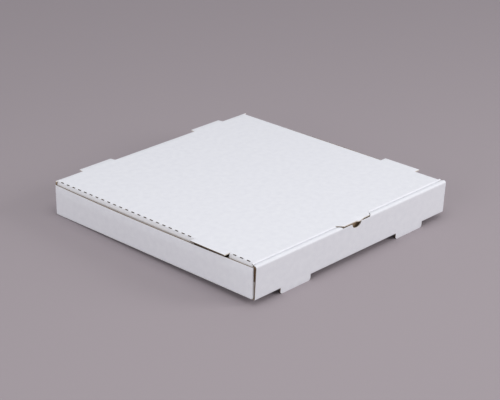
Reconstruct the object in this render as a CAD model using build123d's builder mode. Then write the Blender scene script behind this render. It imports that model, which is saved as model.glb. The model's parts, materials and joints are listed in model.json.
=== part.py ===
from build123d import *
from math import atan2, cos, tan
import os

# Driving dimensions in millimetres: a box 16 inches square and 2 inches deep
INCH = 25.4
WIDTH = 16 * INCH
DEPTH = 16 * INCH
WALL_HEIGHT = 2 * INCH
BOARD = 1.6
FOLD_INSIDE = 0.5
GAP = 0.4

# Walls: the front wall leans out and is rolled over at its top
SIDE_WALL_HEIGHT = 46.0
FRONT_LEAN = 3.0
ROLL_WIDTH = 7.6
FRONT_INSET = 1.0
REAR_INSET = 3.0
INNER_PANEL_FOOT = 9.2
INNER_PANEL_INSET = 2.6

# Corner flaps on the ends of the side walls
CORNER_FLAP_LENGTH = 48.0
CORNER_FLAP_LOW = 4.0
CORNER_FLAP_HIGH = 26.0
CORNER_FLAP_ROUND = 10.0
FRONT_FLAP_SETBACK = 3.4
REAR_FLAP_SETBACK = BOARD + GAP

# Feet in the plane of the front wall, and the lock tabs in the slots that they leave
FOOT_X = 122.0
FOOT_LENGTH = 60.0
FOOT_DROP = 8.4
FOOT_ROUND = 4.0
SLOT_DEPTH = FOOT_DROP + BOARD
LOCK_TAB_LENGTH = 54.0
LOCK_TAB_DROP = BOARD + GAP / 2
LOCK_TAB_ROUND = 1.0

# Lid with its tuck flap and side flaps
LID_RISE = 1.2
LID_SIDE_CLEARANCE = 1.2
LID_FRONT_CLEARANCE = 0.5
LID_PANEL_INSET = 2.9
TUCK_DEPTH = 42.0
TUCK_LEAN = 4.0
TUCK_INSET = 9.0
TUCK_TAPER = 8.0
SIDE_CREASE = 5.0
SIDE_FLAP_DEPTH = 40.0
SIDE_FLAP_FRONT = 7.3
SIDE_FLAP_REAR = 2.6
SIDE_FLAP_TAPER = 9.0

# Tabs that stay in the plane of the lid
REAR_TAB_X = 116.0
REAR_TAB_LENGTH = 65.0
REAR_TAB_REACH = 8.0
REAR_TAB_TAPER = 2.0
SIDE_TAB_FROM_FRONT = 83.5
SIDE_TAB_LENGTH = 71.0
SIDE_TAB_REACH = 4.0
SIDE_TAB_TAPER = 3.0
KERF = 0.5

# Thumb tab and finger notch in the middle of the front
THUMB_TAB_LENGTH = 71.0
THUMB_TAB_TAPER = 8.0
THUMB_TAB_SETBACK = 0.4
THUMB_CLEARANCE = 1.2
NOTCH_WIDTH = 20.0
NOTCH_DEPTH = 9.5
NOTCH_ROUND = 9.0
WINDOW_DEPTH = BOARD + GAP

# Perforated creases on the sides of the lid, with cuts as long as their bridges;
# a run is the distance of its first cut from the front wall, and its number of cuts
PERFORATION_PITCH = INCH / 2
PERFORATION_CUT = INCH / 4
PERFORATION_WIDTH = 1.0
PERFORATION_RUNS = ((16.5, 3), (127.4, 22))
PERFORATION_TILT = 24.0

# Levels worked out from the dimensions above
FOLD = BOARD + FOLD_INSIDE
BEND_STUB = 0.1
OVERLAP = 1.0
LEAN = atan2(FRONT_LEAN, WALL_HEIGHT)
FRONT_REACH = (WALL_HEIGHT - FOLD) * tan(LEAN) - FOLD * (1 / cos(LEAN) - 1)
FRONT_Y = (FRONT_REACH - DEPTH - REAR_TAB_REACH) / 2
BACK_Y = FRONT_Y + DEPTH
SIDE_X = WIDTH / 2
BASE_Z = FOOT_DROP
FLOOR_Z = BASE_Z + BOARD
ROLL_Z = BASE_Z + WALL_HEIGHT
ROLL_FRONT_Y = FRONT_Y - FRONT_LEAN
ROLL_BACK_Y = ROLL_FRONT_Y + ROLL_WIDTH
INNER_FOOT_Y = FRONT_Y + INNER_PANEL_FOOT
INNER_FOOT_Z = FLOOR_Z + GAP
FRONT_BEND_Y = FRONT_Y + FRONT_FLAP_SETBACK
REAR_BEND_Y = BACK_Y - REAR_FLAP_SETBACK
LID_Z = ROLL_Z + LID_RISE
LID_UNDER_Z = LID_Z - BOARD
HINGE_Y = BACK_Y - BOARD / 2
HINGE_Z = LID_Z - BOARD / 2
LID_SIDE_X = SIDE_X - BOARD - LID_SIDE_CLEARANCE
LID_FRONT_Y = ROLL_BACK_Y + LID_FRONT_CLEARANCE
SIDE_FLAP_FRONT_Y = FRONT_Y + SIDE_FLAP_FRONT
SIDE_FLAP_REAR_Y = BACK_Y - SIDE_FLAP_REAR
THUMB_TAB_Y = FRONT_Y - FRONT_REACH + THUMB_TAB_SETBACK


def inside_line(outside):
    """Corners of the line one board thickness to the right of a line of corners."""
    corners = [Vector(*corner) for corner in outside]
    rights = [(b - a).normalized().rotate(Axis.Z, -90) for a, b in zip(corners, corners[1:])]
    before = [rights[0], *rights]
    after = [*rights, rights[-1]]
    return [c + (m + n) * (BOARD / (1 + m.dot(n))) for c, m, n in zip(corners, before, after)]


def board_section(plane, *outside, fold=FOLD):
    """Section of folded board, from its outside line drawn so that every fold turns right."""
    with BuildSketch(plane) as section:
        with BuildLine():
            outer = FilletPolyline(*outside, radius=fold)
            inner = FilletPolyline(*inside_line(outside), radius=fold - BOARD)
            Line(outer @ 0, inner @ 0)
            Line(outer @ 1, inner @ 1)
        make_face()
    return section.sketch


def outline(plane, *corners):
    """Straight-sided outline from its corners."""
    with BuildSketch(plane) as shape:
        with BuildLine():
            Polyline(*corners, close=True)
        make_face()
    return shape.sketch


def tab_outline(plane, centre, base, tip, length, taper, spare=0.0):
    """Tab that stands on the line y = base, narrower at y = tip; spare widens it all round."""
    half_base = length / 2 + spare
    half_tip = half_base - taper
    return outline(
        plane,
        (centre - half_base, base),
        (centre + half_base, base),
        (centre + half_tip, tip),
        (centre - half_tip, tip),
    )


def rounded_outline(plane, low, high, end, rounding):
    """Rectangle between two corners, with the two corners at its low end along an axis rounded."""
    with BuildSketch(plane) as shape:
        with Locations(low):
            Rectangle(high[0] - low[0], high[1] - low[1], align=(Align.MIN, Align.MIN))
        fillet(shape.vertices().group_by(end)[0], radius=rounding)
    return shape.sketch


def across(y):
    """Upright plane across the box at y: x to the right, y up, facing the front."""
    return Plane.XZ.offset(-y)


# Leaning panels of the front wall: x to the right, y up the panel
outer_panel = Plane((0, FRONT_Y, BASE_Z), x_dir=(1, 0, 0), z_dir=(0, -WALL_HEIGHT, -FRONT_LEAN))
inner_panel = Plane(
    (0, INNER_FOOT_Y, INNER_FOOT_Z),
    x_dir=(1, 0, 0),
    z_dir=(0, INNER_FOOT_Z - ROLL_Z, ROLL_BACK_Y - INNER_FOOT_Y),
)

# Tray: its right half, then the mirror image
with BuildPart() as tray:
    # Back wall, bottom, front wall, rolled edge and inner panel are one run of board
    tray_run = board_section(
        Plane.YZ,
        (BACK_Y, LID_UNDER_Z - GAP),
        (BACK_Y, BASE_Z),
        (FRONT_Y, BASE_Z),
        (ROLL_FRONT_Y, ROLL_Z),
        (ROLL_BACK_Y, ROLL_Z),
        (INNER_FOOT_Y, INNER_FOOT_Z),
    )
    extrude(tray_run, amount=SIDE_X)

    # The front wall, its inner panel and the back wall stop short of the side wall's outside,
    # and the bottom panel at the side fold
    wall_ends = (
        (FRONT_INSET, FRONT_Y + FOLD, Align.MAX),
        (REAR_INSET, BACK_Y - FOLD, Align.MIN),
    )
    for inset, fold_y, side in wall_ends:
        with Locations((SIDE_X - inset, fold_y, FLOOR_Z)):
            Box(
                2 * inset,
                2 * (FRONT_LEAN + FOLD),
                3 * WALL_HEIGHT,
                align=(Align.MIN, side, Align.CENTER),
                mode=Mode.SUBTRACT,
            )
    inner_ends = rounded_outline(
        across(FRONT_Y + BOARD),
        (SIDE_X - INNER_PANEL_INSET, FLOOR_Z),
        (SIDE_X + OVERLAP, ROLL_Z + OVERLAP),
        Axis.X,
        GAP,
    )
    extrude(inner_ends, amount=-(INNER_PANEL_FOOT + OVERLAP), mode=Mode.SUBTRACT)
    with Locations((SIDE_X, (FRONT_Y + BACK_Y) / 2, BASE_Z)):
        Box(2 * FOLD, DEPTH - 2 * FOLD, 3 * BOARD, mode=Mode.SUBTRACT)

    # Side wall: its fold off the bottom, then its panel with a bend at each end
    side_fold = board_section(
        across(FRONT_BEND_Y + FOLD),
        (SIDE_X, BASE_Z + FOLD + OVERLAP),
        (SIDE_X, BASE_Z),
        (SIDE_X - FOLD - OVERLAP, BASE_Z),
    )
    extrude(side_fold, amount=-(REAR_BEND_Y - FRONT_BEND_Y - 2 * FOLD))
    side_run = board_section(
        Plane.XY.offset(BASE_Z + FOLD),
        (SIDE_X - FOLD - BEND_STUB, REAR_BEND_Y),
        (SIDE_X, REAR_BEND_Y),
        (SIDE_X, FRONT_BEND_Y),
        (SIDE_X - FOLD - BEND_STUB, FRONT_BEND_Y),
    )
    extrude(side_run, amount=SIDE_WALL_HEIGHT - FOLD)

    # Corner flaps, folded inwards from the bends
    for bend_y, inward in ((FRONT_BEND_Y, -1), (REAR_BEND_Y, 1)):
        corner_flap = rounded_outline(
            across(bend_y),
            (SIDE_X - CORNER_FLAP_LENGTH, BASE_Z + CORNER_FLAP_LOW),
            (SIDE_X - FOLD, BASE_Z + CORNER_FLAP_HIGH),
            Axis.X,
            CORNER_FLAP_ROUND,
        )
        extrude(corner_flap, amount=inward * BOARD)

    # Lock slot in the bottom, the foot that was cut out of it and the lock tab that drops into it
    with Locations((FOOT_X, FRONT_Y - OVERLAP, BASE_Z + FOLD)):
        Box(
            FOOT_LENGTH + KERF,
            SLOT_DEPTH + OVERLAP,
            2 * FOLD,
            align=(Align.CENTER, Align.MIN, Align.MAX),
            mode=Mode.SUBTRACT,
        )
    foot = rounded_outline(
        outer_panel,
        (FOOT_X - FOOT_LENGTH / 2, -FOOT_DROP / cos(LEAN)),
        (FOOT_X + FOOT_LENGTH / 2, 2 * FOLD),
        Axis.Y,
        FOOT_ROUND,
    )
    extrude(foot, amount=-BOARD)
    lock_tab = rounded_outline(
        inner_panel,
        (FOOT_X - LOCK_TAB_LENGTH / 2, -LOCK_TAB_DROP),
        (FOOT_X + LOCK_TAB_LENGTH / 2, 2 * BOARD),
        Axis.Y,
        LOCK_TAB_ROUND,
    )
    extrude(lock_tab, amount=BOARD)

    # Window in the rolled edge for the thumb tab, and the finger notch under it
    thumb_base_y = LID_FRONT_Y + FOLD
    window_y = ROLL_FRONT_Y - OVERLAP
    window_taper = THUMB_TAB_TAPER * (thumb_base_y - window_y) / (thumb_base_y - THUMB_TAB_Y)
    window = tab_outline(
        Plane.XY.offset(ROLL_Z - WINDOW_DEPTH),
        0,
        thumb_base_y,
        window_y,
        THUMB_TAB_LENGTH,
        window_taper,
        THUMB_CLEARANCE,
    )
    extrude(window, amount=2 * WINDOW_DEPTH, mode=Mode.SUBTRACT)
    notch = rounded_outline(
        across(window_y),
        (-NOTCH_WIDTH / 2, ROLL_Z - NOTCH_DEPTH),
        (NOTCH_WIDTH / 2, ROLL_Z),
        Axis.Y,
        NOTCH_ROUND,
    )
    extrude(notch, amount=window_y - FRONT_Y, mode=Mode.SUBTRACT)

    # Notch that the rear tab leaves in the back wall
    rear_notch = tab_outline(
        across(BACK_Y + OVERLAP),
        REAR_TAB_X,
        HINGE_Z,
        HINGE_Z - REAR_TAB_REACH - BOARD,
        REAR_TAB_LENGTH,
        REAR_TAB_TAPER,
        KERF,
    )
    extrude(rear_notch, amount=BOARD + OVERLAP + GAP / 2, mode=Mode.SUBTRACT)

    mirror(about=Plane.YZ)
tray.part.label = "tray"

# Lid: its right half, then the mirror image
with BuildPart() as lid:
    # Tuck flap and panel are one run of board, rounded at the crease that it turns on
    lid_half_width = SIDE_X - LID_PANEL_INSET
    lid_run = board_section(
        Plane.YZ,
        (LID_FRONT_Y + TUCK_LEAN, LID_Z - TUCK_DEPTH),
        (LID_FRONT_Y, LID_Z),
        (HINGE_Y, LID_Z),
    )
    extrude(lid_run, amount=lid_half_width)
    with BuildSketch(Plane.YZ):
        with Locations((HINGE_Y, HINGE_Z)):
            Circle(BOARD / 2)
    extrude(amount=lid_half_width)

    # The tuck flap tapers towards its tip
    tuck_tip_z = LID_Z - TUCK_DEPTH - OVERLAP
    tuck_reach = TUCK_LEAN + 2 * FOLD
    tuck_end = outline(
        across(LID_FRONT_Y - OVERLAP),
        (SIDE_X - TUCK_INSET, LID_UNDER_Z),
        (SIDE_X, LID_UNDER_Z),
        (SIDE_X, tuck_tip_z),
        (SIDE_X - TUCK_INSET - TUCK_TAPER, tuck_tip_z),
    )
    extrude(tuck_end, amount=-tuck_reach, mode=Mode.SUBTRACT)

    # Side flap: its fold takes the edge of the panel down to the flap
    side_fold_length = SIDE_FLAP_REAR_Y - SIDE_FLAP_FRONT_Y
    with Locations((LID_SIDE_X - SIDE_CREASE, SIDE_FLAP_FRONT_Y, HINGE_Z)):
        Box(
            2 * SIDE_CREASE,
            side_fold_length,
            2 * BOARD,
            align=(Align.MIN, Align.MIN, Align.CENTER),
            mode=Mode.SUBTRACT,
        )
    flap_fold = board_section(
        across(SIDE_FLAP_FRONT_Y),
        (LID_SIDE_X - SIDE_CREASE - OVERLAP, LID_Z),
        (LID_SIDE_X, LID_Z),
        (LID_SIDE_X, LID_Z - SIDE_CREASE - BEND_STUB),
        fold=SIDE_CREASE,
    )
    extrude(flap_fold, amount=-side_fold_length)
    side_flap = outline(
        Plane.YZ.offset(LID_SIDE_X),
        (SIDE_FLAP_FRONT_Y, LID_Z - SIDE_CREASE),
        (SIDE_FLAP_REAR_Y, LID_Z - SIDE_CREASE),
        (SIDE_FLAP_REAR_Y - SIDE_FLAP_TAPER, LID_Z - SIDE_FLAP_DEPTH),
        (SIDE_FLAP_FRONT_Y + SIDE_FLAP_TAPER, LID_Z - SIDE_FLAP_DEPTH),
    )
    extrude(side_flap, amount=-BOARD)

    # Perforations through the side fold
    for start, count in PERFORATION_RUNS:
        places = [FRONT_Y + start + i * PERFORATION_PITCH for i in range(count)]
        cuts = [
            Location((LID_SIDE_X - SIDE_CREASE, y, LID_Z - SIDE_CREASE), (0, PERFORATION_TILT, 0))
            for y in places
        ]
        with Locations(*cuts):
            Box(
                PERFORATION_WIDTH,
                PERFORATION_CUT,
                2 * SIDE_CREASE,
                align=(Align.CENTER, Align.CENTER, Align.MIN),
                mode=Mode.SUBTRACT,
            )

    # Side tab, cut out of the top of the side flap
    side_tab_y = FRONT_Y + SIDE_TAB_FROM_FRONT
    side_tab_tip = SIDE_X + SIDE_TAB_REACH
    side_tab_base = LID_SIDE_X - SIDE_CREASE
    side_tab_notch = tab_outline(
        Plane.YZ.offset(side_tab_base),
        side_tab_y,
        LID_UNDER_Z,
        LID_Z - (side_tab_tip - side_tab_base),
        SIDE_TAB_LENGTH,
        SIDE_TAB_TAPER,
        KERF,
    )
    extrude(side_tab_notch, amount=2 * SIDE_CREASE, mode=Mode.SUBTRACT)
    side_tab = tab_outline(
        Plane((0, 0, LID_Z), x_dir=(0, 1, 0), z_dir=(0, 0, -1)),
        side_tab_y,
        side_tab_base - OVERLAP,
        side_tab_tip,
        SIDE_TAB_LENGTH,
        SIDE_TAB_TAPER,
    )
    extrude(side_tab, amount=BOARD)

    # Rear tab, past the crease
    rear_tab = tab_outline(
        Plane.XY.offset(LID_UNDER_Z),
        REAR_TAB_X,
        HINGE_Y - OVERLAP,
        BACK_Y + REAR_TAB_REACH,
        REAR_TAB_LENGTH,
        REAR_TAB_TAPER,
    )
    extrude(rear_tab, amount=BOARD)

    # Thumb tab, cut out of the top of the tuck flap
    thumb_notch = tab_outline(
        across(LID_FRONT_Y - OVERLAP),
        0,
        LID_UNDER_Z,
        LID_Z - (thumb_base_y - THUMB_TAB_Y),
        THUMB_TAB_LENGTH,
        THUMB_TAB_TAPER,
        KERF,
    )
    extrude(thumb_notch, amount=-tuck_reach, mode=Mode.SUBTRACT)
    thumb_tab = tab_outline(
        Plane.XY.offset(LID_UNDER_Z),
        0,
        thumb_base_y,
        THUMB_TAB_Y,
        THUMB_TAB_LENGTH,
        THUMB_TAB_TAPER,
    )
    extrude(thumb_tab, amount=BOARD)

    # The thumb tab spans both halves, so only its right half is kept for the mirror image
    split(bisect_by=Plane.YZ, keep=Keep.TOP)
    mirror(about=Plane.YZ)
lid.part.label = "lid"

os.makedirs("parts", exist_ok=True)
export_step(tray.part, "parts/tray.step")
export_step(lid.part, "parts/lid.step")
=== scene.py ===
"""A pizza box of corrugated board, made as the real one is: cut flat from a sheet, then folded.

A blank lies flat with its white outside up. Its x runs along the front wall, and its y, called s
or station, runs along the line in which the board is folded. Folding carries each point of the
flat sheet to its place on the box, so panels, folds, tabs and cut edges come from one sheet.
Lengths are in metres.
"""

import json
import logging
import math
from dataclasses import dataclass, field
from enum import Enum
from typing import Callable, Iterable, Optional, Sequence, Union

import bmesh
import bpy
from mathutils import Matrix, Vector


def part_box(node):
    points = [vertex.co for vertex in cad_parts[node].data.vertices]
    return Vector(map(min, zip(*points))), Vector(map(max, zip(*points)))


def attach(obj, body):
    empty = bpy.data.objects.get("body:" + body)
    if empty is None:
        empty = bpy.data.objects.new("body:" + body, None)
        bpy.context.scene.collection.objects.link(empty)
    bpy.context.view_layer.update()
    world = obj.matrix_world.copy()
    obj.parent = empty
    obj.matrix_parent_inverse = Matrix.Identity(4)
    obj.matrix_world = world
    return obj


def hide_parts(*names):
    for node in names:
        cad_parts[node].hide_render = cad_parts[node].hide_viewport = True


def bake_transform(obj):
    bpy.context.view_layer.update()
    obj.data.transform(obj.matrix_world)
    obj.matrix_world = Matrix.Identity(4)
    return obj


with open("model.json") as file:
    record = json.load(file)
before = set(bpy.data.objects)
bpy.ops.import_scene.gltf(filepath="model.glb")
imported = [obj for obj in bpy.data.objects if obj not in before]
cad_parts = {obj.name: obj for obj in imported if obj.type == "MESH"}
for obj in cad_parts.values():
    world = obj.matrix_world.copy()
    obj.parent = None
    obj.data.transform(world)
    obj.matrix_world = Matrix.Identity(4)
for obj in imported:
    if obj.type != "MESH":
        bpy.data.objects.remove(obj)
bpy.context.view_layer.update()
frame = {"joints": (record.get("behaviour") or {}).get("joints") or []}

MM = 0.001
INCH = 25.4 * MM
SNAP = 0.002 * MM
FLAT_ATTRIBUTE = "flat"
OPEN_ATTRIBUTE = "open_flutes"

log = logging.getLogger("pizza_box")

Pair = tuple[float, float]
Colour = tuple[float, float, float, float]
Polygon = list[Vector]
Finishes = Sequence[bpy.types.Material]
Socket = bpy.types.NodeSocket
Feed = Union[Socket, float, Sequence[float]]
Feeds = dict[Union[int, str], Feed]


class Turn(Enum):
    """Which way a line of board turns at its folds, looking along the line."""

    LEFT = 1
    RIGHT = -1


class Side(Enum):
    """The three kinds of surface on a piece of board, numbered as its material slots."""

    OUTSIDE = 0
    INSIDE = 1
    CUT = 2


@dataclass(frozen=True)
class Board:
    """The corrugated board, how it folds and how finely its sheet is divided."""

    thickness: float = 1.6 * MM
    fold_inside: float = 0.5 * MM
    gap: float = 0.4 * MM
    kerf: float = 0.5 * MM
    cut_round: float = 0.14 * MM
    fold_steps: int = 8
    fold_support: float = 1.2 * MM
    grid: float = 16 * MM

    @property
    def fold_outside(self) -> float:
        """Radius of the outside of a fold."""
        return self.thickness + self.fold_inside


@dataclass(frozen=True)
class Span:
    """One stretch of a fold line: straight where its radius is zero, else round."""

    start: float
    length: float
    point: Vector
    along: Vector
    inward: Vector
    radius: float


@dataclass
class FoldLine:
    """The outside of folded board, drawn as a line of corners that all turn the same way."""

    corners: Sequence[Pair]
    turn: Turn
    radii: Sequence[float]
    spans: list[Span] = field(init=False)
    setbacks: list[float] = field(init=False)

    def __post_init__(self) -> None:
        """Works out the straight and round stretches from the corners."""
        points = [Vector(corner) for corner in self.corners]
        ways = [(b - a).normalized() for a, b in zip(points, points[1:])]
        angles = [a.angle(b) for a, b in zip(ways, ways[1:])]
        tangents = [radius * math.tan(angle / 2) for radius, angle in zip(self.radii, angles)]
        self.setbacks = [0.0, *tangents, 0.0]
        self.spans = []
        station = 0.0
        for i, way in enumerate(ways):
            inward = Vector((-way.y, way.x)) * self.turn.value
            length = (points[i + 1] - points[i]).length - self.setbacks[i] - self.setbacks[i + 1]
            start = points[i] + way * self.setbacks[i]
            self.spans.append(Span(station, length, start, way, inward, 0.0))
            station += length
            if i < len(angles):
                bend = self.radii[i] * angles[i]
                self.spans.append(Span(station, bend, start + way * length, way, inward, self.radii[i]))
                station += bend

    @property
    def length(self) -> float:
        """Length of the whole line."""
        return self.spans[-1].start + self.spans[-1].length

    def fold(self, corner: int) -> Pair:
        """Where the fold at a corner starts and ends along the line."""
        span = self.spans[2 * corner - 1]
        return span.start, span.start + span.length

    def after(self, corner: int, distance: float) -> float:
        """Station on the straight that follows a corner, at a distance from the sharp corner."""
        return self.spans[2 * corner].start + distance - self.setbacks[corner]

    def before(self, corner: int, distance: float) -> float:
        """Station on the straight that leads to a corner, at a distance from the sharp corner."""
        span = self.spans[2 * corner - 2]
        return span.start + span.length + self.setbacks[corner] - distance

    def place(self, station: float, depth: float, straight: Optional[int] = None) -> Vector:
        """Carries a point of the flat sheet to the folded section.

        Args:
            station: Distance along the outside of the board.
            depth: Distance below the outside of the board.
            straight: Number of the straight whose plane the point stays in, if it doesn't bend.

        Returns:
            The point in the plane of the section.
        """
        if straight is None:
            span = self.spans[0]
            for later in self.spans[1:]:
                if station >= later.start:
                    span = later
        else:
            span = self.spans[2 * straight]
        beyond = station - span.start
        if span.radius == 0.0:
            return span.point + span.along * beyond + span.inward * depth
        centre = span.point + span.inward * span.radius
        swing = Matrix.Rotation(self.turn.value * beyond / span.radius, 2)
        return centre - (swing @ span.inward) * (span.radius - depth)

    def carry(self, flat: Vector, straight: Optional[int] = None) -> Vector:
        """Carries a point of the flat sheet to its place on the box, where its x stays the same."""
        return Vector((flat.x, *self.place(flat.y, -flat.z, straight)))

    def lines(self, board: Board) -> list[float]:
        """Stations at which the sheet is divided so that it can bend at each fold.

        Args:
            board: The board that is folded.

        Returns:
            The stations.
        """
        stations = []
        for corner in range(1, len(self.corners) - 1):
            start, end = self.fold(corner)
            step = (end - start) / board.fold_steps
            stations += [start + step * i for i in range(board.fold_steps + 1)]
            stations += [start - board.fold_support, end + board.fold_support]
        return stations


def sides_of(polygon: Polygon) -> Iterable[tuple[Vector, Vector]]:
    """Pairs each point of a polygon with the next one."""
    return zip(polygon, [*polygon[1:], polygon[0]])


def is_inside(polygon: Polygon, point: Vector, spare: float = SNAP) -> bool:
    """Tells whether a point is in a convex polygon or just outside it.

    Args:
        polygon: The polygon's points, anticlockwise.
        point: The point.
        spare: How far outside the polygon still counts.

    Returns:
        Whether it is.
    """
    for a, b in sides_of(polygon):
        edge = (b - a).normalized()
        if edge.x * (point.y - a.y) - edge.y * (point.x - a.x) < -spare:
            return False
    return True


def in_any(polygons: Iterable[Polygon], point: Vector) -> bool:
    """Tells whether a point is in at least one of some polygons."""
    return any(is_inside(polygon, point) for polygon in polygons)


def shape(*corners: Pair, rounded: Iterable[int] = (), radius: float = 0.0) -> Polygon:
    """Draws a convex polygon on the flat sheet.

    Args:
        corners: Corners in order, either way round.
        rounded: Numbers of the corners to round.
        radius: Radius of the rounded corners.

    Returns:
        The polygon's points, anticlockwise.
    """
    arc_steps = 8
    points = [Vector(corner) for corner in corners]
    outline: Polygon = []
    for i, corner in enumerate(points):
        if i not in rounded:
            outline.append(corner)
            continue
        to_last = (points[i - 1] - corner).normalized()
        to_next = (points[(i + 1) % len(points)] - corner).normalized()
        half = to_last.angle(to_next) / 2
        middle = (to_last + to_next).normalized()
        centre = corner + middle * (radius / math.sin(half))
        first = corner + to_last * (radius / math.tan(half)) - centre
        sweep = first.angle_signed(corner + to_next * (radius / math.tan(half)) - centre)
        for step in range(arc_steps + 1):
            swing = Matrix.Rotation(-sweep * step / arc_steps, 2)
            outline.append(centre + swing @ first)
    area = sum(a.x * b.y - b.x * a.y for a, b in sides_of(outline))
    return outline if area > 0 else outline[::-1]


def about(centre: float, half: float) -> Pair:
    """The two ends of a stretch, from its middle and half its length."""
    return centre - half, centre + half


def oblong(x: Pair, s: Pair, radius: float = 0.0) -> Polygon:
    """Draws a rectangle between two x and two s, with a radius at its corners on the second s."""
    corners = ((x[0], s[0]), (x[1], s[0]), (x[1], s[1]), (x[0], s[1]))
    return shape(*corners, rounded=(2, 3) if radius else (), radius=radius)


def tab(centre: float, s: Pair, half: float, taper: float) -> Polygon:
    """Draws a tab between two s, from half its width at the first, less the taper at the second."""
    base, tip = about(centre, half), about(centre, half - taper)
    return shape((base[0], s[0]), (base[1], s[0]), (tip[1], s[1]), (tip[0], s[1]))


def mirrored(polygons: Iterable[Polygon]) -> list[Polygon]:
    """Returns the mirror images of polygons on the other half of the sheet."""
    return [[Vector((-point.x, point.y)) for point in polygon[::-1]] for polygon in polygons]


def steps_between(low: float, high: float, step: float) -> list[float]:
    """Evenly spaced values between two limits, about a step apart."""
    count = max(1, round((high - low) / step))
    return [low + (high - low) * i / count for i in range(1, count)]


def link_object(name: str, data: bpy.types.ID) -> bpy.types.Object:
    """Adds an object to the scene with its data.

    Args:
        name: Name of the object.
        data: Its mesh, light or camera.

    Returns:
        The object.
    """
    made = bpy.data.objects.new(name, data)
    bpy.context.scene.collection.objects.link(made)
    return made


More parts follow.
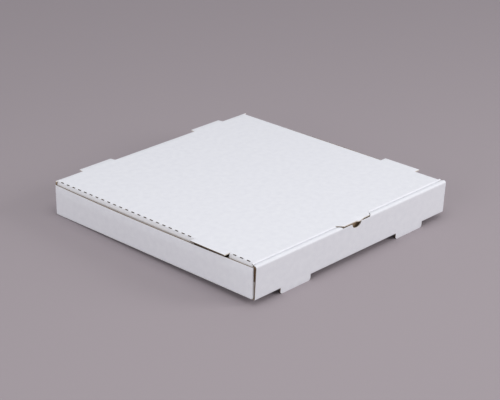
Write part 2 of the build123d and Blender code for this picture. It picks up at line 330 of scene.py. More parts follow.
@dataclass
class Blank:
    """A flat die-cut sheet: panels, windows cut out of them and tabs left standing in windows."""

    board: Board
    panels: list[Polygon]
    windows: list[Polygon]
    tabs: list[Polygon]
    x_lines: list[float]
    s_lines: list[float]

    ARRIS_ANGLE = math.radians(57)
    SHARP_ANGLE = math.radians(28)

    def covers(self, point: Vector) -> bool:
        """Tells whether there is board at a point of the flat sheet."""
        on_panel = in_any(self.panels, point) and not in_any(self.windows, point)
        return on_panel or in_any(self.tabs, point)

    def cut(self) -> bmesh.types.BMesh:
        """Cuts the sheet along its lines and outlines, and drops the waste.

        Returns:
            The flat sheet, without thickness.
        """
        points = [point for polygon in [*self.panels, *self.tabs] for point in polygon]
        low = Vector((min(p.x for p in points), min(p.y for p in points), 0))
        high = Vector((max(p.x for p in points), max(p.y for p in points), 0))
        sheet = bmesh.new()
        to_place = Matrix.Translation((low + high) / 2)
        to_size = Matrix.Diagonal((high.x - low.x, high.y - low.y, 1, 1))
        bmesh.ops.create_grid(sheet, x_segments=1, y_segments=1, size=0.5, matrix=to_place @ to_size)
        for x in [*self.x_lines, *steps_between(low.x, high.x, self.board.grid)]:
            self.score(sheet, list(sheet.faces), Vector((x, 0)), Vector((1, 0)))
        for s in [*self.s_lines, *steps_between(low.y, high.y, self.board.grid)]:
            self.score(sheet, list(sheet.faces), Vector((0, s)), Vector((0, 1)))
        for polygon in [*self.panels, *self.windows, *self.tabs]:
            self.trace(sheet, polygon)
        waste = [face for face in sheet.faces if not self.covers(face.calc_center_median())]
        bmesh.ops.delete(sheet, geom=waste, context="FACES")
        return sheet

    @staticmethod
    def score(
        sheet: bmesh.types.BMesh, faces: list[bmesh.types.BMFace], point: Vector, across: Vector
    ) -> None:
        """Divides some faces along a line.

        Args:
            sheet: The flat sheet.
            faces: The faces to divide.
            point: A point on the line.
            across: The direction square to the line.
        """
        geometry = {*faces}
        for face in faces:
            geometry.update(face.edges)
            geometry.update(face.verts)
        bmesh.ops.bisect_plane(
            sheet, geom=list(geometry), dist=SNAP, plane_co=point.to_3d(), plane_no=across.to_3d()
        )

    def trace(self, sheet: bmesh.types.BMesh, polygon: Polygon) -> None:
        """Divides the faces that an outline passes through, along each of its sides.

        Args:
            sheet: The flat sheet.
            polygon: The outline.
        """
        for a, b in sides_of(polygon):
            low = Vector((min(a.x, b.x) - SNAP, min(a.y, b.y) - SNAP))
            high = Vector((max(a.x, b.x) + SNAP, max(a.y, b.y) + SNAP))
            near = []
            for face in sheet.faces:
                xs = [v.co.x for v in face.verts]
                ys = [v.co.y for v in face.verts]
                if min(xs) < high.x and max(xs) > low.x and min(ys) < high.y and max(ys) > low.y:
                    near.append(face)
            side = b - a
            if near and side.length > SNAP:
                self.score(sheet, near, a, Vector((-side.y, side.x)).normalized())

    def thicken(self, sheet: bmesh.types.BMesh, depth: float) -> None:
        """Gives the sheet its depth, sorts its surfaces and takes the sharpness off its cut edges.

        Args:
            sheet: The flat sheet.
            depth: Its thickness.
        """
        grown = bmesh.ops.extrude_face_region(sheet, geom=list(sheet.faces), use_keep_orig=True)
        under = [part for part in grown["geom"] if isinstance(part, bmesh.types.BMVert)]
        bmesh.ops.translate(sheet, vec=(0, 0, -depth), verts=under)
        bmesh.ops.recalc_face_normals(sheet, faces=list(sheet.faces))
        facing = {1: Side.OUTSIDE, 0: Side.CUT, -1: Side.INSIDE}
        for face in sheet.faces:
            face.material_index = facing[round(face.normal.z)].value
        arrises = []
        for edge in sheet.edges:
            level = abs(edge.verts[0].co.z - edge.verts[1].co.z) < SNAP
            if level and edge.is_manifold and edge.calc_face_angle() > self.ARRIS_ANGLE:
                arrises.append(edge)
        bmesh.ops.bevel(
            sheet,
            geom=arrises,
            offset=self.board.cut_round,
            offset_type="OFFSET",
            affect="EDGES",
            segments=2,
            profile=0.5,
            material=-1,
            clamp_overlap=True,
        )

    def make(
        self,
        name: str,
        fold: Callable[[Vector], Vector],
        finishes: Finishes,
        depth: Optional[float] = None,
        lined: Callable[[Vector], bool] = lambda point: False,
        crushed: Callable[[Vector], bool] = lambda point: False,
    ) -> bpy.types.Object:
        """Cuts, thickens and folds the blank.

        Args:
            name: Name of the piece.
            fold: Carries a point of the flat sheet to its place on the box.
            finishes: Materials of the outside, the inside and the cut edges.
            depth: Thickness of the sheet, if it isn't the board's own.
            lined: Tells whether a cut edge at a point is a crease, with paper over it.
            crushed: Tells whether the flutes at a point are pressed shut.

        Returns:
            The finished piece, at the origin.
        """
        sheet = self.cut()
        self.thicken(sheet, self.board.thickness if depth is None else depth)
        flat = sheet.verts.layers.float_vector.new(FLAT_ATTRIBUTE)
        open_flutes = sheet.faces.layers.float.new(OPEN_ATTRIBUTE)
        sheet.normal_update()
        for face in sheet.faces:
            middle = face.calc_center_median()
            face.smooth = True
            face[open_flutes] = 0.0 if crushed(middle) else face.normal.x ** 2
            if face.material_index == Side.CUT.value and lined(middle):
                face.material_index = Side.INSIDE.value
        for vert in sheet.verts:
            vert[flat] = vert.co
            vert.co = fold(vert.co)
        bmesh.ops.recalc_face_normals(sheet, faces=list(sheet.faces))
        mesh = bpy.data.meshes.new(name)
        sheet.to_mesh(mesh)
        sheet.free()
        mesh.set_sharp_from_angle(angle=self.SHARP_ANGLE)
        for finish in finishes:
            mesh.materials.append(finish)
        return link_object(name, mesh)


@dataclass
class Layout:
    """Sizes that the tray, the lid and the crease share, and their levels, taken from the frame."""

    board: Board
    depth: float = 16 * INCH
    wall_height: float = 2 * INCH
    front_lean: float = 3.0 * MM
    roll_width: float = 7.6 * MM
    lid_front_clearance: float = 0.5 * MM
    lid_side_clearance: float = 1.2 * MM
    lid_panel_inset: float = 2.9 * MM
    thumb_tab_length: float = 71.0 * MM
    thumb_tab_taper: float = 8.0 * MM
    thumb_clearance: float = 1.2 * MM
    rear_tab_x: float = 116.0 * MM
    rear_tab_length: float = 65.0 * MM
    rear_tab_taper: float = 2.0 * MM

    def __post_init__(self) -> None:
        """Takes the levels and corners of walls, rolled edge and lid from the boxes of the nodes."""
        self.tray_low, tray_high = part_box("tray")
        self.lid_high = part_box("lid")[1]
        self.hinge = Vector(frame["joints"][0]["pos_m"])
        # Outsides of the walls
        self.side_x = tray_high.x
        self.back_y = tray_high.y
        self.front_y = self.back_y - self.depth
        # Rolled edge and underside of the bottom
        self.roll_z = tray_high.z
        self.roll_front_y = self.front_y - self.front_lean
        self.roll_back_y = self.roll_front_y + self.roll_width
        self.base_z = self.roll_z - self.wall_height
        # Tops of the lid and of the back wall under it
        self.lid_z = self.lid_high.z
        self.back_top_z = self.lid_z - self.board.thickness - self.board.gap
        # Front corner of the lid, outside of its flaps and half its width
        self.lid_front_y = self.roll_back_y + self.lid_front_clearance
        self.lid_side_x = self.side_x - self.board.thickness - self.lid_side_clearance
        self.lid_half_width = self.side_x - self.lid_panel_inset


@dataclass
class Tray:
    """The lower half of the box: bottom, walls, rolled front edge, corner flaps and feet."""

    layout: Layout
    side_wall_height: float = 47.5 * MM
    front_inset: float = 1.0 * MM
    rear_inset: float = 3.0 * MM
    inner_foot: float = 9.2 * MM
    inner_inset: float = 2.6 * MM
    roll_fold: float = 3.2 * MM
    flap_length: float = 48.0 * MM
    flap_low: float = 4.0 * MM
    flap_high: float = 26.0 * MM
    flap_setback: float = 3.4 * MM
    flap_round: float = 10.0 * MM
    bend_stub: float = 0.1 * MM
    foot_x: float = 122.0 * MM
    foot_length: float = 60.0 * MM
    foot_drop: float = 8.4 * MM
    foot_round: float = 4.0 * MM
    lock_length: float = 54.0 * MM
    lock_round: float = 1.0 * MM
    notch_width: float = 20.0 * MM
    notch_depth: float = 9.5 * MM
    notch_round: float = 9.0 * MM
    rear_notch_depth: float = 8.4 * MM
    wall_bow: float = 3.8 * MM
    crush_depth: float = 6.0 * MM

    REAR_FOLD = 1
    FRONT_FOLD = 2
    ROLL_FRONT = 3
    ROLL_BACK = 4
    FRONT_WALL = 2

    def __post_init__(self) -> None:
        """Draws the lines along which the tray is folded."""
        lay, board = self.layout, self.layout.board
        self.run = FoldLine(
            (
                (lay.back_y, lay.back_top_z),
                (lay.back_y, lay.base_z),
                (lay.front_y, lay.base_z),
                (lay.roll_front_y, lay.roll_z),
                (lay.roll_back_y, lay.roll_z),
                (lay.front_y + self.inner_foot, lay.base_z + board.thickness + board.gap),
            ),
            Turn.RIGHT,
            (board.fold_outside, board.fold_outside, self.roll_fold, board.fold_outside),
        )
        self.side = FoldLine(
            ((0, lay.base_z), (lay.side_x, lay.base_z), (lay.side_x, lay.base_z + self.side_wall_height)),
            Turn.LEFT,
            (board.fold_outside,),
        )
        rear_y = lay.back_y - board.thickness - board.gap
        front_y = lay.front_y + self.flap_setback
        tip_x = lay.side_x - self.flap_length
        self.bend = FoldLine(
            ((tip_x, rear_y), (lay.side_x, rear_y), (lay.side_x, front_y), (tip_x, front_y)),
            Turn.RIGHT,
            (board.fold_outside, board.fold_outside),
        )
        bottom_at_bend = self.run.after(self.REAR_FOLD, lay.back_y - rear_y)
        self.bend_shift = bottom_at_bend - self.bend.after(1, 0)
        self.wall = (self.bend.fold(1)[1] + self.bend_shift, self.bend.fold(2)[0] + self.bend_shift)
        self.feet = [self.foot()]
        self.feet += mirrored(self.feet)

    def foot(self) -> Polygon:
        """Outline of the right foot, which stays in the plane of the front wall.

        Returns:
            The outline.
        """
        start = self.run.fold(self.FRONT_FOLD)[1]
        drop = self.foot_drop * math.hypot(1, self.layout.front_lean / self.layout.wall_height)
        tip = start - self.run.setbacks[self.FRONT_FOLD] - drop
        width = about(self.foot_x, self.foot_length / 2)
        return oblong(width, (start, tip), self.foot_round)

    def panels(self) -> list[Polygon]:
        """Outlines of the tray's panels and flaps on the flat sheet.

        Returns:
            The outlines.
        """
        lay, board, run = self.layout, self.layout.board, self.run
        fold_start, fold_end = self.side.fold(1)
        bottom = (run.fold(self.REAR_FOLD)[1], run.fold(self.FRONT_FOLD)[0])
        inset_from = run.after(self.ROLL_FRONT, lay.front_lean + board.thickness)
        column = [
            oblong(about(0, lay.side_x - self.rear_inset), (0, bottom[0])),
            oblong(about(0, fold_start), bottom),
            oblong(about(0, lay.side_x - self.front_inset), (bottom[1], inset_from)),
            oblong(about(0, lay.side_x - self.inner_inset), (inset_from, run.length)),
        ]
        lock = (run.length - board.thickness, run.length + board.thickness + board.gap / 2)
        lock_width = about(self.foot_x, self.lock_length / 2)
        sides = [
            oblong(lock_width, lock, self.lock_round),
            oblong((fold_start, self.side.length), self.wall),
        ]
        flap = (self.side.after(1, self.flap_low), self.side.after(1, self.flap_high))
        (rear_edge, rear_wall), (front_wall, front_edge) = self.bend.fold(1), self.bend.fold(2)
        flaps = ((rear_edge, rear_wall, 0, -1), (front_edge, front_wall, self.bend.length, 1))
        for bend_end, wall_end, tip, outward in flaps:
            edge = bend_end + self.bend_shift
            stub = (edge + outward * self.bend_stub, wall_end + self.bend_shift)
            reach = (edge, tip + self.bend_shift)
            sides.append(oblong((fold_end, self.side.length), stub))
            sides.append(oblong(flap, reach, self.flap_round))
        return column + sides + mirrored(sides)

    def windows(self) -> list[Polygon]:
        """Outlines of what is cut out of the tray's panels.

        Returns:
            The outlines.
        """
        lay, board, run = self.layout, self.layout.board, self.run
        slot_width = about(self.foot_x, (self.foot_length + board.kerf) / 2)
        slot_end = run.before(self.FRONT_FOLD, self.foot_drop + board.thickness)
        slot = oblong(slot_width, (slot_end, run.fold(self.FRONT_FOLD)[1]))
        half_rear = lay.rear_tab_length / 2 + board.kerf
        rear_reach = (-board.gap, self.rear_notch_depth)
        rear_notch = tab(lay.rear_tab_x, rear_reach, half_rear, lay.rear_tab_taper)
        top = board.thickness + board.gap
        lips = (run.after(self.ROLL_BACK, top), run.before(self.ROLL_FRONT, top))
        half_thumb = lay.thumb_tab_length / 2 + lay.thumb_clearance
        window = tab(0, lips, half_thumb, lay.thumb_tab_taper)
        half_notch = self.notch_width / 2
        notch_reach = (run.fold(self.ROLL_FRONT)[1], run.before(self.ROLL_FRONT, self.notch_depth))
        notch = oblong((half_notch, -half_notch), notch_reach, self.notch_round)
        sides = [slot, rear_notch]
        return [window, notch, *sides, *mirrored(sides)]

    def bow(self, station: float, z: float) -> float:
        """How far a side wall bows out, most at its top and in the middle of its length.

        Args:
            station: Place along the wall on the flat sheet.
            z: Height in the frame.

        Returns:
            The distance.
        """
        share = (station - self.wall[0]) / (self.wall[1] - self.wall[0])
        along = max(0.0, 1 - (2 * share - 1) ** 2)
        return self.wall_bow * along * (z - self.layout.base_z) / self.side_wall_height

    def fold(self, flat: Vector) -> Vector:
        """Carries a point of the flat tray to its place on the box.

        Args:
            flat: The point on the flat sheet.

        Returns:
            Its place.
        """
        lay = self.layout
        depth = -flat.z
        reach = abs(flat.x)
        if in_any(self.feet, flat):
            return self.run.carry(flat, self.FRONT_WALL)
        on_wall = self.wall[0] - SNAP <= flat.y <= self.wall[1] + SNAP
        if reach > lay.side_x + lay.board.kerf or (on_wall and reach > self.side.fold(1)[0]):
            wall_x, z = self.side.place(reach, depth)
            bend_x, y = self.bend.place(flat.y - self.bend_shift, depth)
            x = wall_x + bend_x - (lay.side_x - depth) + self.bow(flat.y, z)
            return Vector((math.copysign(x, flat.x), y, z))
        return self.run.carry(flat)

    def build(self, finishes: Finishes) -> bpy.types.Object:
        """Makes the tray and sets it on its body.

        Args:
            finishes: Materials of the three kinds of surface.

        Returns:
            The piece.
        """
        board = self.layout.board
        side_lines = self.side.lines(board)
        bend_lines = [station + self.bend_shift for station in self.bend.lines(board)]
        x_lines = [*side_lines, *(-x for x in side_lines)]
        s_lines = [*self.run.lines(board), *bend_lines]
        blank = Blank(board, self.panels(), self.windows(), self.feet, x_lines, s_lines)
        piece = blank.make(
            "tray_sheet",
            self.fold,
            finishes,
            lined=lambda point: point.y < SNAP,
            crushed=lambda point: point.y < self.crush_depth,
        )
        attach(piece, "tray")
        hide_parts("tray")
        return piece


@dataclass
class Lid:
    """The upper half of the box: lid panel, tuck flap, side flaps and the tabs that stay flat."""

    layout: Layout
    tuck_depth: float = 42.0 * MM
    tuck_lean: float = 4.0 * MM
    tuck_inset: float = 9.0 * MM
    tuck_taper: float = 8.0 * MM
    crease_inset: float = 3.0 * MM
    shoulder_width: float = 2.2 * MM
    shoulder_drop: float = 6.4 * MM
    flap_depth: float = 40.0 * MM
    flap_front: float = 7.3 * MM
    flap_rear: float = 2.6 * MM
    flap_taper: float = 9.0 * MM
    flap_kerf: float = 0.3 * MM
    side_tab_from_front: float = 83.5 * MM
    side_tab_length: float = 65.0 * MM
    thumb_setback: float = 0.4 * MM
    dent_x: float = 7.0 * MM
    dent_half_width: float = 10.0 * MM
    dent_depth: float = 2.0 * MM
    dent_grid: float = 1.6 * MM
    perforation_pitch: float = INCH / 2
    perforation_cut: float = INCH / 4
    perforation_width: float = 1.6 * MM
    perforation_runs: tuple[tuple[float, int], ...] = ((16.5 * MM, 3), (127.4 * MM, 22))

    TUCK_FOLD = 1
    PANEL = 1

    def __post_init__(self) -> None:
        """Draws the lines along which the lid is folded."""
        lay, board = self.layout, self.layout.board
        self.run = FoldLine(
            (
                (lay.lid_front_y + self.tuck_lean, lay.lid_z - self.tuck_depth),
                (lay.lid_front_y, lay.lid_z),
                (lay.hinge.y, lay.lid_z),
            ),
            Turn.RIGHT,
            (board.fold_outside,),
        )
        crease_x = lay.lid_side_x - self.crease_inset
        self.side = FoldLine(
            (
                (0, lay.lid_z),
                (crease_x, lay.lid_z),
                (crease_x + self.shoulder_width, lay.lid_z - self.shoulder_drop),
                (lay.lid_side_x, lay.lid_z - self.flap_depth),
            ),
            Turn.RIGHT,
            (board.fold_outside, board.fold_outside),
        )
        self.crease_start = self.side.fold(1)[0]
        self.flap_span = (self.at(lay.front_y + self.flap_front), self.at(lay.back_y - self.flap_rear))
        self.thumb = self.thumb_tab()
        along = [point.y for point in self.thumb]
        self.thumb_reach = (max(along), min(along))
        self.side_tabs = [self.side_tab(lay.lid_high.x)]
        self.side_tabs += mirrored(self.side_tabs)

    def at(self, y: float) -> float:
        """Station on the lid panel at a distance y of the frame."""
        return self.run.after(self.PANEL, y - self.layout.lid_front_y)

    def thumb_tab(self) -> Polygon:
        """Outline of the thumb tab, which stays in the plane of the lid.

        Returns:
            The outline.
        """
        lay = self.layout
        base = self.run.fold(self.TUCK_FOLD)[1]
        reach = self.run.place(base, 0).x - (lay.tray_low.y + self.thumb_setback)
        return tab(0, (base, base - reach), lay.thumb_tab_length / 2, lay.thumb_tab_taper)

    def dent(self, flat: Vector) -> float:
        """How far the thumb tab is pressed down at a point, over the finger notch.

        Args:
            flat: The point on the flat sheet.

        Returns:
            The distance.
        """
        aside = min(1.0, abs(flat.x - self.dent_x) / self.dent_half_width)
        base, tip = self.thumb_reach
        reach = (base - flat.y) / (base - tip)
        return self.dent_depth * reach * (1 + math.cos(math.pi * aside)) / 2

    def side_tab(self, tip: float, spare: float = 0.0) -> Polygon:
        """Outline of the right side tab up to its tip, or of its hole with spare room at each end."""
        centre = self.at(self.layout.front_y + self.side_tab_from_front)
        return oblong((self.crease_start, tip), about(centre, self.side_tab_length / 2 + spare))

    def perforations(self) -> list[Polygon]:
        """Outlines of the cuts through the right side crease.

        Returns:
            The outlines.
        """
        across = about(sum(self.side.fold(1)) / 2, self.perforation_width / 2)
        cuts = []
        for first, count in self.perforation_runs:
            for i in range(count):
                centre = self.at(self.layout.front_y + first + i * self.perforation_pitch)
                cuts.append(oblong(across, about(centre, self.perforation_cut / 2)))
        return cuts

    def panels(self) -> list[Polygon]:
        """Outlines of the lid's panels and flaps on the flat sheet.

        Returns:
            The outlines.
        """
        lay, board, run = self.layout, self.layout.board, self.run
        flap_top = self.side.fold(2)[1]
        tuck_top = run.fold(self.TUCK_FOLD)[0]
        column = [
            tab(0, (tuck_top, 0), lay.side_x - self.tuck_inset, self.tuck_taper),
            oblong(about(0, lay.lid_half_width), (tuck_top, run.length)),
        ]
        front, rear = self.flap_span
        tab_reach = (run.length - board.thickness, self.at(lay.lid_high.y))
        foot, taper = self.side.length, self.flap_taper
        sides = [
            oblong((self.crease_start, flap_top), (front, rear)),
            shape((flap_top, front), (flap_top, rear), (foot, rear - taper), (foot, front + taper)),
            tab(lay.rear_tab_x, tab_reach, lay.rear_tab_length / 2, lay.rear_tab_taper),
        ]
        return column + sides + mirrored(sides)

    def windows(self) -> list[Polygon]:
        """Outlines of what is cut out of the lid's flaps and creases.

        Returns:
            The outlines.
        """
        lay, board, run = self.layout, self.layout.board, self.run
        base = run.fold(self.TUCK_FOLD)[1]
        thumb_end = run.before(self.TUCK_FOLD, base - self.thumb_reach[1])
        half = lay.thumb_tab_length / 2 + board.kerf
        thumb = tab(0, (base, thumb_end), half, lay.thumb_tab_taper)
        hole_end = self.side.after(2, lay.lid_high.x - self.crease_start - self.shoulder_drop)
        front, rear = self.flap_span
        past = (self.crease_start, lay.lid_half_width + board.gap)
        slits = [oblong(past, (front - self.flap_kerf, front)), oblong(past, (rear, rear + self.flap_kerf))]
        sides = [self.side_tab(hole_end, board.kerf), *slits, *self.perforations()]
        return [thumb, *sides, *mirrored(sides)]

    def fold(self, flat: Vector) -> Vector:
        """Carries a point of the flat lid to its place on the box.

        Args:
            flat: The point on the flat sheet.

        Returns:
            Its place.
        """
        if is_inside(self.thumb, flat):
            place = self.run.carry(flat, self.PANEL)
            place.z -= self.dent(flat)
            return place
        front, rear = self.flap_span
        in_span = front - SNAP <= flat.y <= rear + SNAP
        stays_flat = in_any(self.side_tabs, flat)
        if in_span and abs(flat.x) > self.crease_start and not stays_flat:
            x, z = self.side.place(abs(flat.x), -flat.z)
            y = self.run.place(flat.y, 0).x
            return Vector((math.copysign(x, flat.x), y, z))
        return self.run.carry(flat)

    def build(self, finishes: Finishes) -> bpy.types.Object:
        """Makes the lid and sets it on its body.

        Args:
            finishes: Materials of the three kinds of surface.

        Returns:
            The piece.
        """
        board = self.layout.board
        side_lines = self.side.lines(board)
        dent = about(self.dent_x, self.dent_half_width)
        dent_lines = [*dent, *steps_between(*dent, self.dent_grid)]
        x_lines = [*side_lines, *(-x for x in side_lines), *dent_lines]
        tabs = [self.thumb, *self.side_tabs]
        blank = Blank(board, self.panels(), self.windows(), tabs, x_lines, self.run.lines(board))
        hinge_line = self.run.length
        piece = blank.make(
            "lid_sheet",
            self.fold,
            finishes,
            lined=lambda point: abs(point.y - hinge_line) < SNAP,
            crushed=lambda point: point.y > self.flap_span[1],
        )
        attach(piece, "lid")
        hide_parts("lid")
        return piece


@dataclass
class Crease:
    """The paper that runs on from the back wall to the lid and bends as the lid opens."""

    layout: Layout
    paper: float = 0.3 * MM

    def __post_init__(self) -> None:
        """Draws the line in which the paper goes over the crease."""
        lay = self.layout
        self.line = FoldLine(
            ((lay.back_y, lay.back_top_z), (lay.back_y, lay.lid_z), (lay.hinge.y - self.paper, lay.lid_z)),
            Turn.LEFT,
            (lay.board.thickness / 2,),
        )

    def build(self, finishes: Finishes) -> bpy.types.Object:
        """Makes the strips between the rear tabs, folded over from the back wall to the level of the lid.

        Args:
            finishes: Materials of the three kinds of surface.

        Returns:
            The piece.
        """
        lay = self.layout
        ends = (0, self.line.length)
        half = lay.rear_tab_length / 2 + lay.board.kerf
        outer = oblong((lay.rear_tab_x + half, lay.lid_half_width), ends)
        middle = oblong(about(0, lay.rear_tab_x - half), ends)
        panels = [middle, outer, *mirrored([outer])]
        blank = Blank(lay.board, panels, [], [], [], self.line.lines(lay.board))
        piece = blank.make(
            "lid_crease", self.line.carry, finishes, depth=self.paper, crushed=lambda point: True
        )
        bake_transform(piece)
        return piece


class NodeSheet:
    """Lays nodes in a material or a group and links them."""

    def __init__(self, tree: bpy.types.NodeTree) -> None:
        """Starts from an empty tree."""
        self.tree = tree
        tree.nodes.clear()

    def add(self, kind: str, inputs: Optional[Feeds] = None, **settings: object) -> bpy.types.Node:
        """Adds a node, sets its properties and feeds its inputs.

        Args:
            kind: Type of the node.
            inputs: Sockets to link to its inputs, or values to set there, by name or number.
            settings: Properties of the node.

        Returns:
            The node.
        """
        node = self.tree.nodes.new(kind)
        for name, value in settings.items():
            setattr(node, name, value)
        for key, value in (inputs or {}).items():
            if isinstance(value, Socket):
                self.tree.links.new(value, node.inputs[key])
            else:
                node.inputs[key].default_value = value
        return node

    def math(self, operation: str, *values: Feed) -> Socket:
        """Adds a math node and returns its result."""
        return self.add("ShaderNodeMath", dict(enumerate(values)), operation=operation).outputs[0]

    def mix(self, factor: Feed, a: Feed, b: Feed) -> Socket:
        """Mixes two colours and returns the result."""
        return self.add("ShaderNodeMix", {"Factor": factor, 6: a, 7: b}, data_type="RGBA").outputs[2]

    def noise(self, vector: Feed, scale: float, detail: float) -> Socket:
        """Adds a noise texture and returns its value."""
        inputs = {"Vector": vector, "Scale": scale, "Detail": detail}
        return self.add("ShaderNodeTexNoise", inputs).outputs["Fac"]

    def spread(self, value: Feed, old: Pair, new: Pair) -> Socket:
        """Maps a value from one range to another, held at its ends."""
        inputs = dict(enumerate((value, *old, *new)))
        return self.add("ShaderNodeMapRange", inputs, clamp=True).outputs[0]


def colour(*levels: int) -> Colour:
    """Turns three sRGB levels of 0 to 255 into the linear colour that a shader takes."""
    shares = [level / 255 for level in levels]
    return (*(s / 12.92 if s <= 0.04045 else ((s + 0.055) / 1.055) ** 2.4 for s in shares), 1.0)


@dataclass(frozen=True)
class PaperGrain:
    """The grain that all papers of the board share: cloudiness, fibres and flutes showing through."""

    cloud_size: float = 9 * MM
    fibre_length: float = 2.4 * MM
    fibre_width: float = 0.35 * MM
    flute_pitch: float = 3.2 * MM
    detail: float = 3.0

    def group(self) -> bpy.types.NodeTree:
        """Builds the node group once.

        Returns:
            A group from the flat place on the sheet to Cloud, Fibre and Flute values.
        """
        name = "paper_grain"
        if name in bpy.data.node_groups:
            return bpy.data.node_groups[name]
        tree = bpy.data.node_groups.new(name, "ShaderNodeTree")
        tree.interface.new_socket("Flat", in_out="INPUT", socket_type="NodeSocketVector")
        for output in ("Cloud", "Fibre", "Flute"):
            tree.interface.new_socket(output, in_out="OUTPUT", socket_type="NodeSocketFloat")
        sheet = NodeSheet(tree)
        place = sheet.add("NodeGroupInput").outputs["Flat"]
        fine, coarse = 1 / self.fibre_width, 1 / self.fibre_length
        stretch = sheet.add("ShaderNodeMapping", {"Vector": place, "Scale": (coarse, fine, fine)})
        along = sheet.add("ShaderNodeSeparateXYZ", {0: place}).outputs["Y"]
        turns = sheet.math("MULTIPLY", along, 2 * math.pi / self.flute_pitch)
        values = {
            "Cloud": sheet.noise(place, 1 / self.cloud_size, self.detail),
            "Fibre": sheet.noise(stretch.outputs[0], 1.0, self.detail),
            "Flute": sheet.math("SINE", turns),
        }
        sheet.add("NodeGroupOutput", values)
        return tree


class BoardSheet(NodeSheet):
    """The nodes of one finish of the board, with the paper's grain laid out on the flat sheet."""

    def __init__(self, name: str, grain: PaperGrain) -> None:
        """Starts the material with the grain.

        Args:
            name: Name of the material.
            grain: The grain of the board's papers.
        """
        self.material = bpy.data.materials.new(name)
        self.material.use_nodes = True
        super().__init__(self.material.node_tree)
        self.flat = self.add("ShaderNodeAttribute", attribute_name=FLAT_ATTRIBUTE).outputs["Vector"]
        group = self.add("ShaderNodeGroup", {"Flat": self.flat}, node_tree=grain.group())
        self.cloud, self.fibre, self.flute = (group.outputs[part] for part in ("Cloud", "Fibre", "Flute"))

    def finish(self, base: Feed, roughness: Feed, specular: float, height: Feed) -> bpy.types.Material:
        """Ends the material with its shader.

        Args:
            base: Colour of the surface.
            roughness: Its roughness.
            specular: Its specular level.
            height: How far its grain stands up, in metres.

        Returns:
            The material.
        """
        bump = self.add("ShaderNodeBump", {"Strength": 1.0, "Distance": 1.0, "Height": height})
        inputs = {"Base Color": base, "Roughness": roughness, "Specular IOR Level": specular}
        shader = self.add("ShaderNodeBsdfPrincipled", {**inputs, "Normal": bump.outputs[0]})
        self.add("ShaderNodeOutputMaterial", {"Surface": shader.outputs[0]})
        return self.material


@dataclass(frozen=True)
class Paper:
    """A paper face of the board: its colours, gloss and how far its grain stands up."""

    name: str
    light: Colour
    dark: Colour
    fibre_share: float
    roughness: float
    fibre_height: float
    flute_height: float
    tone_range: Pair = (0.32, 0.68)
    fibre_range: Pair = (0.3, 0.7)
    roughness_swing: float = 0.06
    specular: float = 0.35
    grain: PaperGrain = PaperGrain()

    def material(self) -> bpy.types.Material:
        """Builds the paper's material.

        Returns:
            The material.
        """
        sheet = BoardSheet(self.name, self.grain)
        strands = sheet.math("MULTIPLY", sheet.fibre, self.fibre_share)
        clouds = sheet.math("MULTIPLY", sheet.cloud, 1 - self.fibre_share)
        tone = sheet.spread(sheet.math("ADD", strands, clouds), self.tone_range, (0.0, 1.0))
        base = sheet.mix(tone, self.dark, self.light)
        rough_range = (self.roughness + self.roughness_swing, self.roughness - self.roughness_swing)
        rough = sheet.spread(sheet.fibre, self.fibre_range, rough_range)
        fibres = sheet.math("MULTIPLY", sheet.fibre, self.fibre_height)
        height = sheet.math("MULTIPLY_ADD", sheet.flute, self.flute_height, fibres)
        return sheet.finish(base, rough, self.specular, height)


@dataclass(frozen=True)
class CutEdge:
    """A cut edge of the board: painted shade in the hollows where the flutes end, pale where the cut
    follows them.
    """

    name: str
    board: Board
    white: Colour
    brown: Colour
    pale: Colour
    flute: Colour
    # Painted shade: the colour of the shade inside the open flute ends
    hollow_shade: Colour
    face_share: float = 0.13
    face_blur: Pair = (0.8, 1.2)
    flute_share: float = 0.09
    flute_blur: Pair = (0.6, 1.6)
    cloud_range: Pair = (0.4, 0.62)
    hollow_shade_range: Pair = (0.7, 1.0)
    roughness: float = 0.85
    specular: float = 0.2
    fibre_height: float = 0.05 * MM
    grain: PaperGrain = PaperGrain()

    def material(self) -> bpy.types.Material:
        """Builds the cut edge's material.

        Returns:
            The material.
        """
        sheet = BoardSheet(self.name, self.grain)
        level = sheet.add("ShaderNodeSeparateXYZ", {0: sheet.flat}).outputs["Z"]
        deep = sheet.math("DIVIDE", level, -self.board.thickness)
        middle = sheet.math("MULTIPLY_ADD", sheet.flute, 0.5 - self.face_share, 0.5)
        away = sheet.math("ABSOLUTE", sheet.math("SUBTRACT", deep, middle))
        flute_edge = tuple(self.flute_share * blur for blur in self.flute_blur)
        beside = sheet.spread(away, flute_edge, (0.0, 1.0))
        # Painted shade: between the liners and the wavy flute, where the flutes end, the edge is painted
        # dark as the shade in the open flutes, varied by the cloud noise
        hollow_shade_amount = sheet.spread(sheet.cloud, self.cloud_range, self.hollow_shade_range)
        inner = sheet.mix(sheet.math("MULTIPLY", beside, hollow_shade_amount), self.flute, self.hollow_shade)
        near, far = (self.face_share * blur for blur in self.face_blur)
        top = sheet.spread(deep, (near, far), (1.0, 0.0))
        under = sheet.spread(deep, (1 - far, 1 - near), (0.0, 1.0))
        across = sheet.mix(under, inner, self.brown)
        ends = sheet.add("ShaderNodeAttribute", attribute_name=OPEN_ATTRIBUTE).outputs["Fac"]
        base = sheet.mix(top, sheet.mix(ends, self.pale, across), self.white)
        height = sheet.math("MULTIPLY", sheet.fibre, self.fibre_height)
        return sheet.finish(base, self.roughness, self.specular, height)


@dataclass(frozen=True)
class Lamp:
    """A square soft light that faces a point."""

    name: str
    place: tuple[float, float, float]
    aim: tuple[float, float, float]
    size: float
    power: float

    def build(self) -> None:
        """Hangs the lamp."""
        data = bpy.data.lights.new(self.name, "AREA")
        data.shape = "SQUARE"
        data.size = self.size
        data.energy = self.power
        lamp = link_object(self.name, data)
        lamp.location = self.place
        lamp.rotation_mode = "QUATERNION"
        lamp.rotation_quaternion = (Vector(self.aim) - lamp.location).to_track_quat("-Z", "Y")


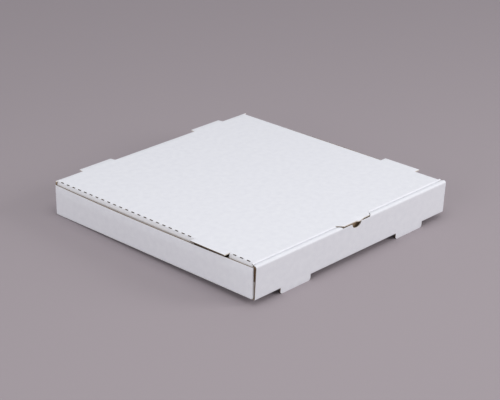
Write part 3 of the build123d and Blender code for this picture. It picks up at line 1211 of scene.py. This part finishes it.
@dataclass
class Studio:
    """The plain floor under the box, the soft light and the camera."""

    layout: Layout
    floor_size: float = 30.0
    floor_colour: Colour = colour(165, 156, 160)
    floor_roughness: float = 0.9
    floor_specular: float = 0.1
    sky_colour: Colour = colour(222, 222, 226)
    sky_strength: float = 0.80
    sensor_width: float = 36.0
    lens: float = 112.93
    azimuth: float = -46.27
    elevation: float = 23.42
    roll: float = 0.20
    distance: float = 2.2597
    aim: tuple[float, float, float] = (-0.03786, -0.03924, 0.05197)
    lamps: tuple[Lamp, ...] = (
        Lamp("overhead", (-0.15, -0.3, 1.3), (-0.15, -0.3, 0.0), size=0.9, power=3.8),
        Lamp("right_key", (1.6, -2.2, 1.1), (0.0, 0.0, 0.0), size=1.2, power=28.5),
        Lamp("left_fill", (-2.6, -0.6, 0.9), (0.0, 0.0, 0.0), size=1.6, power=17.5),
    )

    def floor(self) -> None:
        """Lays the floor through the feet and the rear bottom fold, on which the box stands."""
        lay = self.layout
        foot = Vector((0, lay.front_y, lay.tray_low.z))
        heel = Vector((0, lay.back_y - lay.board.fold_outside, lay.base_z))
        slope = math.atan2(heel.z - foot.z, heel.y - foot.y)
        mesh = bpy.data.meshes.new("floor")
        sheet = bmesh.new()
        to_place = Matrix.Translation(foot) @ Matrix.Rotation(slope, 4, "X")
        bmesh.ops.create_grid(sheet, x_segments=1, y_segments=1, size=self.floor_size / 2, matrix=to_place)
        sheet.to_mesh(mesh)
        sheet.free()
        mesh.materials.append(self.floor_paper())
        floor = link_object("floor", mesh)

    def floor_paper(self) -> bpy.types.Material:
        """Builds the floor's plain matt material.

        Returns:
            The material.
        """
        made = bpy.data.materials.new("floor_paper")
        made.use_nodes = True
        shader = made.node_tree.nodes["Principled BSDF"]
        shader.inputs["Base Color"].default_value = self.floor_colour
        shader.inputs["Roughness"].default_value = self.floor_roughness
        shader.inputs["Specular IOR Level"].default_value = self.floor_specular
        return made

    def sky(self) -> None:
        """Lights the box evenly from all round."""
        world = bpy.data.worlds.new("studio")
        world.use_nodes = True
        backdrop = world.node_tree.nodes["Background"]
        backdrop.inputs["Color"].default_value = self.sky_colour
        backdrop.inputs["Strength"].default_value = self.sky_strength
        bpy.context.scene.world = world

    def camera(self) -> None:
        """Sets the camera at the photograph's viewing angle."""
        data = bpy.data.cameras.new("camera")
        data.sensor_width = self.sensor_width
        data.lens = self.lens
        camera = link_object("camera", data)
        azimuth, elevation = math.radians(self.azimuth), math.radians(self.elevation)
        level = math.cos(elevation)
        back = Vector((math.sin(azimuth) * level, -math.cos(azimuth) * level, math.sin(elevation)))
        camera.location = Vector(self.aim) + back * self.distance
        roll = Matrix.Rotation(math.radians(self.roll), 3, "Z")
        turn = (-back).to_track_quat("-Z", "Y").to_matrix() @ roll
        camera.rotation_mode = "QUATERNION"
        camera.rotation_quaternion = turn.to_quaternion()
        bpy.context.scene.camera = camera

    def build(self) -> None:
        """Sets up floor, light and camera."""
        self.floor()
        self.sky()
        for lamp in self.lamps:
            lamp.build()
        self.camera()
        bpy.context.scene.view_settings.view_transform = "Standard"


def main() -> None:
    """Builds the box, dresses it and sets up the studio."""
    logging.basicConfig(level=logging.INFO, format="%(name)s: %(message)s")
    board = Board()
    layout = Layout(board)
    white = Paper(
        "white_paper",
        light=colour(236, 237, 241),
        dark=colour(229, 230, 235),
        fibre_share=0.35,
        roughness=0.58,
        fibre_height=0.012 * MM,
        flute_height=0.006 * MM,
    ).material()
    kraft = Paper(
        "kraft_paper",
        light=colour(184, 160, 133),
        dark=colour(157, 132, 105),
        fibre_share=0.6,
        roughness=0.72,
        fibre_height=0.03 * MM,
        flute_height=0.03 * MM,
    ).material()
    edge = CutEdge(
        "cut_edge",
        board,
        white=colour(234, 232, 230),
        brown=colour(172, 152, 130),
        pale=colour(220, 211, 200),
        flute=colour(150, 126, 102),
        # hollow is painted shade, the colour of the shade inside the open flute ends
        hollow_shade=colour(46, 39, 34),
    ).material()
    for part in (Tray(layout), Lid(layout), Crease(layout)):
        piece = part.build((white, kraft, edge))
        log.info("%s has %d faces", piece.name, len(piece.data.polygons))
    Studio(layout).build()


if __name__ == "__main__":
    main()
